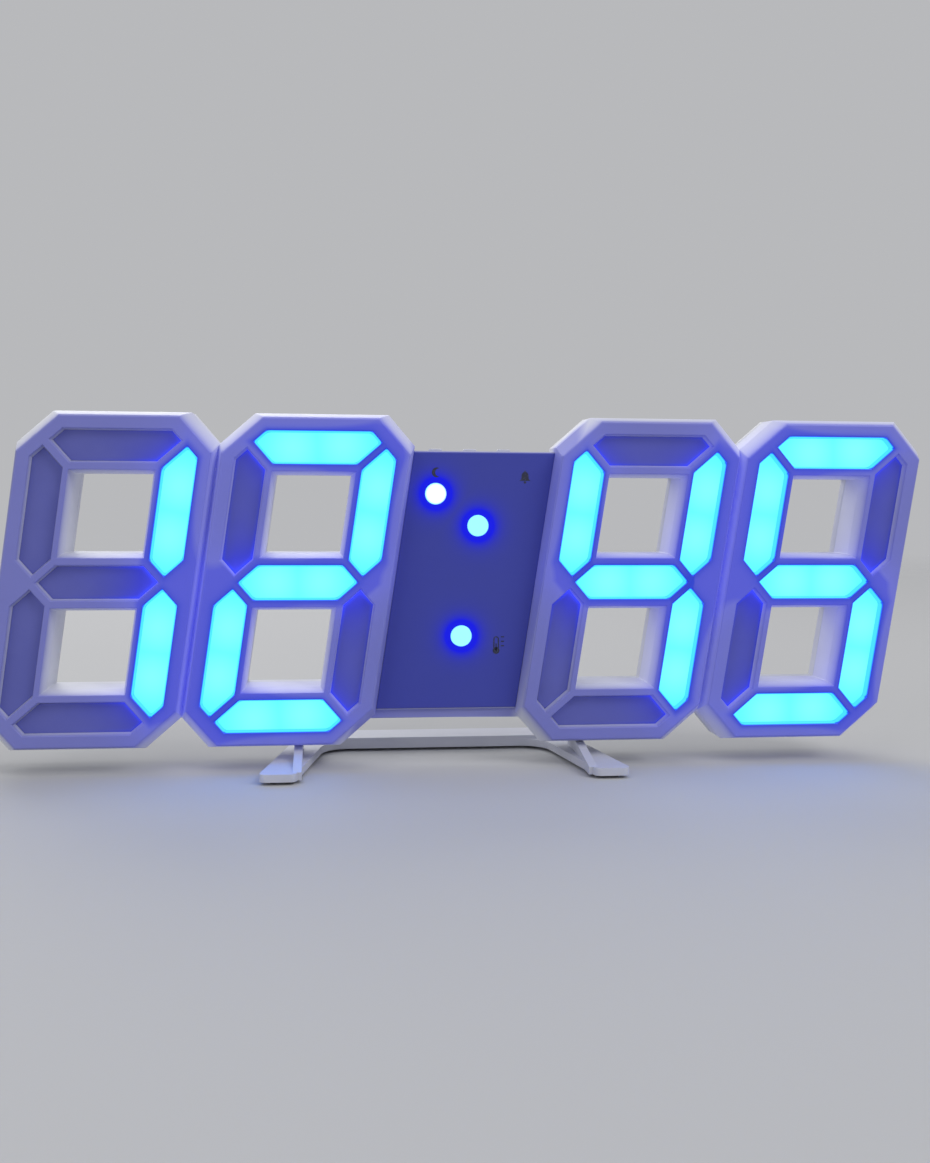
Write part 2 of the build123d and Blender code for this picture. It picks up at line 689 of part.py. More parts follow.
def driver_chip():
    """Lamp driver."""
    return brick(*place(*CHIP_PLACE), CHIP_W, CHIP_L, BOARD_BACK, BOARD_BACK + CHIP_T)


def crystal():
    """Clock crystal in its can with round ends."""
    return prism(SlotOverall(CRYSTAL_W, CRYSTAL_H), place(*CRYSTAL_PLACE), BOARD_BACK, BOARD_BACK + CRYSTAL_T)


def temperature_sensor():
    """Temperature bead on the main board."""
    bead = rod(place(*SENSOR_PLACE), SENSOR_R, BOARD_BACK, BOARD_BACK + SENSOR_H)
    return fillet(bead.edges().group_by(Axis.Y)[-1], SENSOR_ROUND)


def flat_outline(points, low, high):
    """Level block of a plan outline between two heights."""
    return extrude(Plane.XY.offset(low) * Polygon(*points), amount=high - low)


def stand():
    """U-shaped foot: two splayed toes, a cross bar behind, and ribs with tongues that plug into the case."""
    front, back = FRONT_Y - TOE_REACH, FRONT_Y + TAIL_REACH
    drift = TOE_SPLAY * (back - front)
    floor = PAD_T
    tail_half = TOE_HALF + TOE_W - drift
    toe = [(TOE_HALF, front), (TOE_HALF + TOE_W, front), (tail_half, back), (TOE_HALF - drift, back)]
    bar = [(-tail_half, back - BAR_D), (tail_half, back - BAR_D), (tail_half, back), (-tail_half, back)]
    plan = Polygon(*toe) + Polygon(*[(-x, y) for x, y in reversed(toe)]) + Polygon(*bar)
    tips = plan.vertices().group_by(Axis.Y)[0]
    plan = fillet(tips, TOE_ROUND)
    crotch = TOE_HALF - TOE_SPLAY * (back - BAR_D - front)
    corners = [v for v in plan.vertices() if abs(abs(v.X) - crotch) < TOE_ROUND / 4
               and abs(v.Y - (back - BAR_D)) < TOE_ROUND / 4]
    plan = fillet(corners, CROTCH_ROUND)
    base = extrude(Plane.XY.offset(floor) * plan, amount=BASE_T)
    base += flat_outline(bar, floor, floor + BAR_T)
    base = Pos(STAND_X, 0, 0) * base
    rib_back, rib_foot = FRONT_Y + BODY_D - REAR_BEVEL, FRONT_Y - RIB_REACH
    side = [(rib_foot, floor), (rib_back, floor), (rib_back, BODY_LIFT), (FRONT_Y + RIB_START, BODY_LIFT),
            (rib_foot, floor + BASE_T)]
    for x in rib_centres():
        base += extrude(Plane.YZ.offset(x - RIB_T / 2) * Polygon(*side), amount=RIB_T)
        base += brick(x, BODY_LIFT + TONGUE_H / 2, RIB_T, TONGUE_H,
                      TONGUE_DEPTH - TONGUE_D / 2, TONGUE_DEPTH + TONGUE_D / 2)
    return base


def stand_pads():
    """Grip pads under the ends of the toes and of the cross bar."""
    front, back = FRONT_Y - TOE_REACH, FRONT_Y + TAIL_REACH
    toe_y, tail_y = front + PAD_EDGE + PAD_L / 2, back - PAD_EDGE - PAD_L / 2
    pads = []
    for y in (toe_y, tail_y):
        half = TOE_HALF + TOE_W / 2 - TOE_SPLAY * (y - front)
        for side in (-1, 1):
            spot = Pos(STAND_X + side * half, y, 0) * RectangleRounded(PAD_W, PAD_L, PAD_EDGE)
            pads.append(extrude(spot, amount=PAD_T))
    return pads


def all_pieces():
    """Every piece by its name: a solid, or a list of loose solids."""
    pieces = {"front_shell": front_shell(), "centre_panel": centre_panel(), "rear_cover": rear_cover()}
    for number, centre in enumerate(DIGIT_CENTRES, start=1):
        for letter in HEXAGONS:
            pieces[f"digit{number}_segment_{letter}"] = diffuser(centre, letter)
        pieces[f"digit{number}_board"] = digit_board(centre)
    for name, spot in DOT_PLACES.items():
        pieces[name] = dot_lens(spot)
    for name, x in zip(("mode_button", "up_button", "down_button"), button_centres()):
        pieces[name] = button(x)
    pieces.update({
        "main_board": main_board(), "segment_leds": segment_leds(), "dot_leds": dot_leds(),
        "cover_screws": cover_screws(), "board_screws": board_screws(), "ribbon_jumpers": ribbon_jumpers(),
        "tact_switches": tact_switches(), "coin_cell_holder": coin_cell_holder(), "coin_cell": coin_cell(),
        "battery_cap": battery_cap(), "power_socket": power_socket(), "buzzer": buzzer(),
        "driver_chip": driver_chip(), "crystal": crystal(), "temperature_sensor": temperature_sensor(),
        "stand": stand(), "stand_pads": stand_pads()})
    return pieces


def main():
    """Writes one file per piece."""
    os.makedirs("parts", exist_ok=True)
    for name, shape in all_pieces().items():
        solid = Compound(children=shape) if isinstance(shape, list) else shape
        export_step(solid, f"parts/{name}.step")


main()
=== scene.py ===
"""Looks of a slanted, see-through seven-segment desk clock: finishes, printed marks, studio and camera."""

import functools
import json
import logging
import math
from dataclasses import dataclass, field
from enum import Enum
from typing import Any, Callable, Mapping, Optional, Sequence, Union

import bpy
import numpy as np
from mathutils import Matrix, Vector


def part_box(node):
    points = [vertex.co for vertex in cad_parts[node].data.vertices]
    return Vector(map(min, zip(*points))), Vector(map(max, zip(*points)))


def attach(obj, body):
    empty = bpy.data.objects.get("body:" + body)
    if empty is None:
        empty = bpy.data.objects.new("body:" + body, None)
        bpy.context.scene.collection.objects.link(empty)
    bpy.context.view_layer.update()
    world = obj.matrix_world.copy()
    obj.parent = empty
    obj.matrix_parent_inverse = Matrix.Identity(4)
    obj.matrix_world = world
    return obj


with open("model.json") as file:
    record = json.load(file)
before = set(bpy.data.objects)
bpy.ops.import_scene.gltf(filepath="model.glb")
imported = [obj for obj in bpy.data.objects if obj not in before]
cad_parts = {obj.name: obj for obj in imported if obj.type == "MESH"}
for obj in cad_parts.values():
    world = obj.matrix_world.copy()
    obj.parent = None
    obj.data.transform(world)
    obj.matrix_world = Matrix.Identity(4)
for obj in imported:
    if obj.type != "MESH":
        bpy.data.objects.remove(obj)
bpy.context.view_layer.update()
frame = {"nodes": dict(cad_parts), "record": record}

LOG = logging.getLogger("desk_clock")
MM = 0.001
Colour = tuple[float, float, float]
Point = tuple[float, float, float]
Number = Union[int, float]
Feed = Union["Wire", bpy.types.NodeSocket, Number, Sequence[float]]
Span = tuple[float, float]
BLACK: Colour = (0.0, 0.0, 0.0)
BACKWARDS: Point = (0.0, 1.0, 0.0)
MIX_COLOURS = (6, 7)     # sockets of a Mix node's two colours
MIX_RESULT = 2           # socket of its mixed colour
NOISE_MIDDLE = 0.5       # mean of the soft random value
WAVE_UNIT = 0.314        # scale at which the wave texture has one band per metre
WELD_REACH = 0.002 * MM  # distance at which loose corners are joined
ROUND_STEPS = 3          # facets across a rounded edge
FACE_SLACK = 0.05        # millimetres within which a point counts as on a plate's face
FACE_DECIMALS = 2        # places kept of a corner's millimetres, so that double corners fall together


class Layers(Enum):
    """Number of finer layers in a soft random value."""

    PLAIN = 2.0
    GRAIN = 3.0
    CLOUD = 4.0
    DUST = 5.0


class Wire:
    """One shader value that takes part in Python expressions; each operator adds a Math node."""

    def __init__(self, board: "NodeBoard", socket: bpy.types.NodeSocket) -> None:
        """Keeps the socket and the board that its expressions are written on."""
        self.board = board
        self.socket = socket

    def _math(self, operation: str, first: Feed, second: Feed = 0.0, third: Feed = 0.0) -> "Wire":
        """Adds one Math node.

        Args:
            operation: Blender's name of the operation.
            first: left operand.
            second: right operand.
            third: further setting that a few operations have.

        Returns:
            The node's result.
        """
        node = self.board.node("ShaderNodeMath", {"operation": operation}, {0: first, 1: second, 2: third})
        return Wire(self.board, node.outputs[0])

    def __add__(self, other: Feed) -> "Wire":
        """Sum."""
        return self._math("ADD", self, other)

    def __radd__(self, other: Feed) -> "Wire":
        """Sum with a plain number on the left."""
        return self._math("ADD", other, self)

    def __sub__(self, other: Feed) -> "Wire":
        """Difference."""
        return self._math("SUBTRACT", self, other)

    def __rsub__(self, other: Feed) -> "Wire":
        """Difference from a plain number."""
        return self._math("SUBTRACT", other, self)

    def __mul__(self, other: Feed) -> "Wire":
        """Product."""
        return self._math("MULTIPLY", self, other)

    def __rmul__(self, other: Feed) -> "Wire":
        """Product with a plain number on the left."""
        return self._math("MULTIPLY", other, self)

    def __neg__(self) -> "Wire":
        """Negative."""
        return self._math("MULTIPLY", self, -1.0)

    def __rpow__(self, base: Feed) -> "Wire":
        """A plain number raised to this value."""
        return self._math("POWER", base, self)

    def most(self, other: Feed, blend: float = 0.0) -> "Wire":
        """Larger of two values, rounded over where they differ by less than blend."""
        return self._math("SMOOTH_MAX", self, other, blend) if blend else self._math("MAXIMUM", self, other)

    def least(self, other: Feed) -> "Wire":
        """Smaller of two values."""
        return self._math("MINIMUM", self, other)

    def above(self, level: float) -> "Wire":
        """1 where the value is larger than a level, otherwise 0."""
        return self._math("GREATER_THAN", self, level)

    def fade(self, reach: float) -> "Wire":
        """Exponential fall from 1 at zero to 1/e at reach; values below zero stay at 1."""
        return math.exp(-1.0 / reach) ** self.most(0.0)

    def step(self, start: float, end: float) -> "Wire":
        """Smooth step from 0 at start to 1 at end.

        Args:
            start: value that maps to 0.
            end: value that maps to 1, which may lie below start.

        Returns:
            The mapped value.
        """
        low, high, first, last = (start, end, 0.0, 1.0) if start < end else (end, start, 1.0, 0.0)
        limits = {"From Min": low, "From Max": high, "To Min": first, "To Max": last}
        node = self.board.node("ShaderNodeMapRange", {"interpolation_type": "SMOOTHSTEP"},
                               {"Value": self, **limits})
        return Wire(self.board, node.outputs["Result"])


class NodeBoard:
    """A node tree that expressions and finishes write their nodes on."""

    def __init__(self, tree: bpy.types.NodeTree) -> None:
        """Takes an existing tree and clears it."""
        self.tree = tree
        self.tree.nodes.clear()

    def node(self, kind: str, settings: Optional[Mapping[str, Any]] = None,
             inputs: Optional[Mapping[Union[str, int], Feed]] = None) -> bpy.types.Node:
        """Adds one node.

        Args:
            kind: Blender's type name of the node.
            settings: properties that are set first.
            inputs: values or links of its sockets, by name or number.

        Returns:
            The node.
        """
        made = self.tree.nodes.new(kind)
        for key, value in (settings or {}).items():
            setattr(made, key, value)
        for key, value in (inputs or {}).items():
            self.feed(made.inputs[key], value)
        return made

    def feed(self, socket: bpy.types.NodeSocket, value: Feed) -> None:
        """Links a wire or socket to a socket, or sets the socket to a plain value.

        Args:
            socket: socket that is fed.
            value: wire, socket or plain value.
        """
        if isinstance(value, Wire):
            self.tree.links.new(value.socket, socket)
        elif isinstance(value, bpy.types.NodeSocket):
            self.tree.links.new(value, socket)
        else:
            socket.default_value = value

    def wire(self, socket: bpy.types.NodeSocket) -> Wire:
        """A socket as a value for expressions."""
        return Wire(self, socket)


class Sheet(NodeBoard):
    """A material's node tree, with the shader that the finishes feed."""

    def __init__(self, name: str) -> None:
        """Starts a material with only its shader and output.

        Args:
            name: name of the material.
        """
        self.material = bpy.data.materials.new(name)
        self.material.use_nodes = True
        super().__init__(self.material.node_tree)
        self.output = self.node("ShaderNodeOutputMaterial")
        self.shader = self.node("ShaderNodeBsdfPrincipled")
        self.feed(self.output.inputs["Surface"], self.shader.outputs["BSDF"])

    def set(self, **values: Feed) -> None:
        """Feeds the shader's sockets, named with underscores for spaces."""
        for key, value in values.items():
            self.feed(self.shader.inputs[key.replace("_", " ")], value)

    def place(self) -> bpy.types.NodeSocket:
        """Object coordinates, in metres in the clock's own frame."""
        return self.node("ShaderNodeTexCoord").outputs["Object"]

    def millimetres(self) -> bpy.types.NodeSocket:
        """Object coordinates in millimetres."""
        return self.node("ShaderNodeVectorMath", {"operation": "SCALE"},
                         {"Vector": self.place(), "Scale": 1 / MM}).outputs["Vector"]

    def along(self, vector: Feed, direction: Sequence[float]) -> Wire:
        """Component of a vector along a fixed direction."""
        node = self.node("ShaderNodeVectorMath", {"operation": "DOT_PRODUCT"}, {0: vector, 1: direction})
        return self.wire(node.outputs["Value"])

    def distance(self, vector: Feed, point: Sequence[float]) -> Wire:
        """Distance of a vector from a fixed point."""
        node = self.node("ShaderNodeVectorMath", {"operation": "DISTANCE"}, {0: vector, 1: point})
        return self.wire(node.outputs["Value"])

    def noise(self, size: float, layers: Layers = Layers.PLAIN,
              stretch: Sequence[float] = (1.0, 1.0, 1.0)) -> Wire:
        """Soft random value between 0 and 1.

        Args:
            size: size of its patches, in metres.
            layers: number of finer layers.
            stretch: how much finer the patches are along each axis.

        Returns:
            The value.
        """
        turned = self.node("ShaderNodeMapping", {"vector_type": "POINT"},
                           {"Vector": self.place(), "Scale": tuple(stretch)})
        node = self.node("ShaderNodeTexNoise", {"noise_dimensions": "3D"},
                         {"Vector": turned.outputs["Vector"], "Scale": 1 / size, "Detail": layers.value})
        return self.wire(node.outputs["Fac"])

    def mix(self, share: Feed, first: Feed, second: Feed) -> bpy.types.NodeSocket:
        """Colour between two colours.

        Args:
            share: 0 for the first colour, 1 for the second.
            first: colour or link.
            second: colour or link.

        Returns:
            The mixed colour.
        """
        node = self.node("ShaderNodeMix", {"data_type": "RGBA", "clamp_factor": True}, {"Factor": share})
        for socket, colour in zip(MIX_COLOURS, (first, second)):
            self.feed(node.inputs[socket], (*colour, 1.0) if isinstance(colour, tuple) else colour)
        return node.outputs[MIX_RESULT]

    def bump(self, height: Wire, depth: float, strength: float = 0.6) -> bpy.types.NodeSocket:
        """Normal of a relief.

        Args:
            height: relief between 0 and 1.
            depth: height of the relief in metres.
            strength: share of the relief that shows.

        Returns:
            The normal.
        """
        return self.node("ShaderNodeBump", {}, {"Height": height, "Distance": depth,
                                                "Strength": strength}).outputs["Normal"]


def nearest(values: Sequence[Wire]) -> Wire:
    """Least of several values."""
    return functools.reduce(Wire.least, values)


def total(values: Sequence[Wire]) -> Wire:
    """Sum of several values."""
    return functools.reduce(Wire.__add__, values)


class Finish:
    """Look of a surface, which writes its gloss and relief on a sheet and gives its colour."""

    def write(self, sheet: Sheet) -> bpy.types.NodeSocket:
        """Writes gloss and relief on a sheet and returns the colour; each finish has its own."""
        raise NotImplementedError

    def material(self, name: str) -> bpy.types.Material:
        """Plain material of this finish.

        Args:
            name: name of the material.

        Returns:
            The material.
        """
        sheet = Sheet(name)
        sheet.set(Base_Color=self.write(sheet))
        return sheet.material


@dataclass(frozen=True)
class MouldedPlastic(Finish):
    """Satin moulding with faint clouds in its colour and a fine eroded grain."""

    colour: Colour = (0.735, 0.75, 0.815)
    cloud: Colour = (0.70, 0.715, 0.79)
    cloud_size: float = 11 * MM
    cloud_range: Span = (0.35, 0.7)
    gloss_finer: float = 3.0
    roughness: float = 0.44
    roughness_spread: float = 0.12
    grain: float = 0.22 * MM
    relief: float = 0.012 * MM

    def write(self, sheet: Sheet) -> bpy.types.NodeSocket:
        """Writes grain and gloss on a sheet.

        Args:
            sheet: sheet of the material.

        Returns:
            The clouded colour, for the caller to tint or use.
        """
        gloss = sheet.noise(self.cloud_size / self.gloss_finer) - NOISE_MIDDLE
        sheet.set(Roughness=self.roughness + self.roughness_spread * gloss,
                  Normal=sheet.bump(sheet.noise(self.grain, Layers.GRAIN), self.relief))
        clouds = sheet.noise(self.cloud_size, Layers.CLOUD).step(*self.cloud_range)
        return sheet.mix(clouds, self.colour, self.cloud)


@dataclass(frozen=True)
class PlatedSteel(Finish):
    """Bright plated steel with fine turned scratches and dull patches."""

    colour: Colour = (0.62, 0.63, 0.65)
    dull: Colour = (0.53, 0.535, 0.55)
    patch: float = 1.6 * MM
    patch_range: Span = (0.42, 0.72)
    roughness: float = 0.26
    patch_dulling: float = 0.12
    scratch: float = 0.12 * MM
    scratch_stretch: Point = (1.0, 1.0, 0.12)
    scratch_dulling: float = 0.10
    relief: float = 0.002 * MM
    relief_share: float = 0.35

    def write(self, sheet: Sheet) -> bpy.types.NodeSocket:
        """Writes scratches and gloss on a sheet.

        Args:
            sheet: sheet of the material.

        Returns:
            The colour with its dull patches.
        """
        dull = sheet.noise(self.patch, Layers.CLOUD).step(*self.patch_range)
        scratches = sheet.noise(self.scratch, Layers.PLAIN, self.scratch_stretch)
        scuffs = self.scratch_dulling * (scratches - NOISE_MIDDLE)
        sheet.set(Metallic=1.0, Roughness=self.roughness + self.patch_dulling * dull + scuffs,
                  Normal=sheet.bump(scratches, self.relief, self.relief_share))
        return sheet.mix(dull, self.colour, self.dull)


@dataclass(frozen=True)
class SolderMask(Finish):
    """Green board lacquer with paler copper tracks under it."""

    colour: Colour = (0.014, 0.115, 0.050)
    track: Colour = (0.050, 0.230, 0.090)
    track_pitch: float = 3.2 * MM
    track_width: float = 0.09
    track_edge: float = 0.1
    track_run: float = 2.6
    track_row: float = 0.55
    row_shift: float = 0.37
    roughness: float = 0.30
    roughness_spread: float = 0.12
    blotch: float = 0.8 * MM
    relief: float = 0.03 * MM

    def write(self, sheet: Sheet) -> bpy.types.NodeSocket:
        """Writes the relief of the tracks and the gloss on a sheet.

        Args:
            sheet: sheet of the material.

        Returns:
            The colour with its tracks.
        """
        turned = sheet.node("ShaderNodeMapping", {"vector_type": "POINT"},
                            {"Vector": sheet.place(), "Rotation": (math.pi / 2, 0.0, 0.0)})
        tracks = sheet.node("ShaderNodeTexBrick", {"offset": self.row_shift},
                            {"Vector": turned.outputs["Vector"], "Scale": 1 / self.track_pitch,
                             "Mortar Size": self.track_width, "Mortar Smooth": self.track_edge,
                             "Brick Width": self.track_run, "Row Height": self.track_row})
        copper = sheet.wire(tracks.outputs["Fac"])
        sheet.set(Roughness=self.roughness + self.roughness_spread * sheet.noise(self.blotch),
                  Normal=sheet.bump(copper, self.relief))
        return sheet.mix(copper, self.colour, self.track)


@dataclass(frozen=True)
class DarkResin(Finish):
    """Black moulded resin or rubber, dull, with a coarse grain and pale dust."""

    colour: Colour = (0.018, 0.018, 0.021)
    dust: Colour = (0.060, 0.060, 0.066)
    dust_size: float = 2.4 * MM
    dust_range: Span = (0.45, 0.8)
    roughness: float = 0.55
    roughness_spread: float = 0.2
    grain: float = 0.30 * MM
    relief: float = 0.02 * MM

    def write(self, sheet: Sheet) -> bpy.types.NodeSocket:
        """Writes grain and gloss on a sheet.

        Args:
            sheet: sheet of the material.

        Returns:
            The dusty colour.
        """
        grain = sheet.noise(self.grain, Layers.GRAIN)
        dusty = sheet.noise(self.dust_size, Layers.DUST).step(*self.dust_range)
        sheet.set(Roughness=self.roughness + self.roughness_spread * (grain - NOISE_MIDDLE),
                  Normal=sheet.bump(grain, self.relief))
        return sheet.mix(dusty, self.colour, self.dust)


@dataclass(frozen=True)
class FlatLead(Finish):
    """Grey flat lead with a groove between its conductors, painted darker there as shade."""

    colour: Colour = (0.36, 0.37, 0.39)
    # painted shade in the grooves between conductors
    groove: Colour = (0.20, 0.205, 0.22)
    pitch: float = 1.0 * MM
    roughness: float = 0.5
    roughness_spread: float = 0.1
    blotch: float = 0.6 * MM
    relief: float = 0.08 * MM

    def write(self, sheet: Sheet) -> bpy.types.NodeSocket:
        """Writes the ribs and the gloss on a sheet.

        Args:
            sheet: sheet of the material.

        Returns:
            The colour with painted shade in its grooves.
        """
        bands = sheet.node("ShaderNodeTexWave", {"wave_type": "BANDS", "bands_direction": "Z"},
                           {"Vector": sheet.place(), "Scale": WAVE_UNIT / self.pitch, "Distortion": 0.0})
        rib = sheet.wire(bands.outputs["Fac"])
        sheet.set(Roughness=self.roughness + self.roughness_spread * sheet.noise(self.blotch),
                  Normal=sheet.bump(rib, self.relief))
        return sheet.mix(rib, self.groove, self.colour)


@dataclass(frozen=True)
class PhosphorResin(Finish):
    """Yellow lamp resin in a pale cup."""

    colour: Colour = (0.80, 0.62, 0.12)
    edge: Colour = (0.62, 0.44, 0.07)
    cloud_size: float = 0.7 * MM
    roughness: float = 0.22
    roughness_spread: float = 0.2
    relief: float = 0.01 * MM

    def write(self, sheet: Sheet) -> bpy.types.NodeSocket:
        """Writes gloss and unevenness on a sheet.

        Args:
            sheet: sheet of the material.

        Returns:
            The clouded colour.
        """
        cloud = sheet.noise(self.cloud_size, Layers.GRAIN)
        sheet.set(Roughness=self.roughness + self.roughness_spread * cloud,
                  Normal=sheet.bump(cloud, self.relief))
        return sheet.mix(cloud, self.colour, self.edge)


@dataclass(frozen=True)
class PrintInk(Finish):
    """Thin dark ink of the panel's marks, slightly worn."""

    colour: Colour = (0.022, 0.026, 0.060)
    worn: Colour = (0.085, 0.095, 0.150)
    wear_size: float = 0.35 * MM
    wear_range: Span = (0.52, 0.75)
    roughness: float = 0.55
    roughness_spread: float = 0.15
    relief: float = 0.004 * MM

    def write(self, sheet: Sheet) -> bpy.types.NodeSocket:
        """Writes gloss and wear on a sheet.

        Args:
            sheet: sheet of the material.

        Returns:
            The worn colour.
        """
        worn = sheet.noise(self.wear_size, Layers.CLOUD).step(*self.wear_range)
        sheet.set(Roughness=self.roughness + self.roughness_spread * worn,
                  Normal=sheet.bump(worn, self.relief))
        return sheet.mix(worn, self.colour, self.worn)


@dataclass(frozen=True)
class LampLight:
    """Colours of the lamps, and of their light and shade painted onto the plastic round them."""

    core: Colour = (0.056, 0.27, 1.0)
    body: Colour = (0.026, 0.25, 1.0)
    rim: Colour = (0.008, 0.12, 0.70)
    power: float = 3.8
    # painted glow, emitted by the pocket walls beside a lit plate
    wall: Colour = (0.05, 0.66, 1.0)
    # painted glow, emitted faintly by the case and the off plates near lit plates
    leak: Colour = (0.04, 0.05, 0.95)
    # painted blue glow: deep blue base colour along lit pocket edges, the ridges between them and the edges
    # of off plates
    painted_blue_glow: Colour = (0.006, 0.050, 0.56)
    # painted light and shade: violet base colour on the case's front near lit plates and on the walls round
    # the panel
    painted_violet_light_and_shade: Colour = (0.090, 0.105, 0.60)


def mesh_points(node: str) -> np.ndarray:
    """Corners of a node's mesh, in metres.

    Args:
        node: name of the node.

    Returns:
        Array of shape (corners, 3).
    """
    mesh = frame["nodes"][node].data
    points = np.empty(3 * len(mesh.vertices))
    mesh.vertices.foreach_get("co", points)
    return points.reshape(-1, 3)


@dataclass(frozen=True)
class Outline:
    """Flat convex outline of a lamp window on the face, in millimetres."""

    corners: np.ndarray
    depth: float

    @classmethod
    def of_node(cls, node: str) -> "Outline":
        """Reads a window's outline off the front face of its plate.

        Args:
            node: name of the plate's node.

        Returns:
            Its corners in order round their middle.
        """
        points = mesh_points(node) / MM
        front = points[:, 1].min()
        on_front = points[:, 1] < front + FACE_SLACK
        flat = np.unique(points[on_front][:, [0, 2]].round(FACE_DECIMALS), axis=0)
        spread = flat - flat.mean(0)
        return cls(flat[np.argsort(np.arctan2(spread[:, 1], spread[:, 0]))], float(front))

    def middle(self) -> np.ndarray:
        """Middle of the outline."""
        return self.corners.mean(0)

    def edges(self) -> list[tuple[float, float, float]]:
        """Lines along the edges.

        Returns:
            Outward unit normal, across and upwards, and offset of each edge.
        """
        run = np.roll(self.corners, -1, axis=0) - self.corners
        normal = np.stack([run[:, 1], -run[:, 0]], axis=1) / np.linalg.norm(run, axis=1, keepdims=True)
        offset = (normal * self.corners).sum(1)
        return [(float(x), float(z), float(c)) for (x, z), c in zip(normal, offset)]

    def hot_spots(self, share: float) -> np.ndarray:
        """Two points on the long axis, either side of the middle.

        Args:
            share: how far out they lie, as a share of the half length.

        Returns:
            The two points.
        """
        spread = self.corners - self.middle()
        tip = spread[np.argmax(np.linalg.norm(spread, axis=1))]
        return np.stack([self.middle() - share * tip, self.middle() + share * tip])

    def outside(self, sheet: Sheet, place: Feed, corner: float = 0.0) -> Wire:
        """Distance outside the outline, the largest of the distances past its edges; negative inside.

        Args:
            sheet: sheet to write on.
            place: position in millimetres.
            corner: how far the corners are rounded, in millimetres.

        Returns:
            The distance in millimetres.
        """
        sides = [sheet.along(place, (x, 0.0, z)) - c for x, z, c in self.edges()]
        return functools.reduce(lambda first, second: first.most(second, corner), sides)


def surface_object(name: str, patches: Sequence[np.ndarray]) -> bpy.types.Object:
    """Makes an object of grids of points.

    Args:
        name: name of the object.
        patches: arrays of shape (rows, columns, 3) in metres.

    Returns:
        The object, linked to the scene.
    """
    faces, start = [], 0
    for patch in patches:
        rows, columns = patch.shape[:2]
        index = start + np.arange(rows * columns).reshape(rows, columns)
        quads = np.stack([index[:-1, :-1], index[1:, :-1], index[1:, 1:], index[:-1, 1:]], axis=-1)
        faces += quads.reshape(-1, 4).tolist()
        start += rows * columns
    mesh = bpy.data.meshes.new(name)
    mesh.from_pydata(np.concatenate([patch.reshape(-1, 3) for patch in patches]).tolist(), [], faces)
    made = bpy.data.objects.new(name, mesh)
    bpy.context.scene.collection.objects.link(made)
    return made


def dress(node: str, material: bpy.types.Material) -> None:
    """Gives a node its finish and reports it.

    Args:
        node: name of the node.
        material: its finish.
    """
    piece = frame["nodes"][node]
    for slot in piece.material_slots:
        slot.material = material
    LOG.info("%s: %s", node, material.name)


def long_sharp_edges(length: float, angle: float) -> bpy.types.NodeTree:
    """Geometry tree that gives full bevel weight to the edges that are both long and sharp.

    Args:
        length: least length of an edge, in metres.
        angle: least turn of an edge, in degrees.

    Returns:
        The tree, for a modifier.
    """
    tree = bpy.data.node_groups.new("long_sharp_edges", "GeometryNodeTree")
    for way in ("INPUT", "OUTPUT"):
        tree.interface.new_socket("Geometry", in_out=way, socket_type="NodeSocketGeometry")
    board = NodeBoard(tree)
    ends = board.node("GeometryNodeInputMeshEdgeVertices").outputs
    run = board.node("ShaderNodeVectorMath", {"operation": "DISTANCE"},
                     {0: ends["Position 1"], 1: ends["Position 2"]})
    turn = board.wire(board.node("GeometryNodeInputMeshEdgeAngle").outputs["Unsigned Angle"])
    weight = board.wire(run.outputs["Value"]).above(length) * turn.above(math.radians(angle))
    marked = board.node("GeometryNodeStoreNamedAttribute", {"data_type": "FLOAT", "domain": "EDGE"},
                        {"Geometry": board.node("NodeGroupInput").outputs[0], "Name": "bevel_weight_edge",
                         "Value": weight})
    board.node("NodeGroupOutput", {}, {0: marked.outputs[0]})
    return tree


def soften(node: str, width: float, angle: float, clamp: bool = False, length: float = 0.0) -> None:
    """Joins a node's loose triangles and rounds its sharp edges.

    Args:
        node: name of the node.
        width: width of the rounding in metres.
        angle: least turn of an edge that is rounded, in degrees.
        clamp: whether the rounding stops where two roundings would meet.
        length: least length of an edge that is rounded, in metres.
    """
    piece = frame["nodes"][node]
    weld = piece.modifiers.new("join", "WELD")
    weld.merge_threshold = WELD_REACH
    pick = piece.modifiers.new("pick", "NODES")
    pick.node_group = long_sharp_edges(length, angle)
    bevel = piece.modifiers.new("round", "BEVEL")
    bevel.width = width
    bevel.segments = ROUND_STEPS
    bevel.limit_method = "WEIGHT"
    bevel.use_clamp_overlap = clamp
    bevel.harden_normals = True


def nodes_of(slot: str) -> list[str]:
    """Names of the nodes that take a material slot in the record."""
    return [part["node"] for part in frame["record"]["subparts"] if part["material_slot"] == slot]


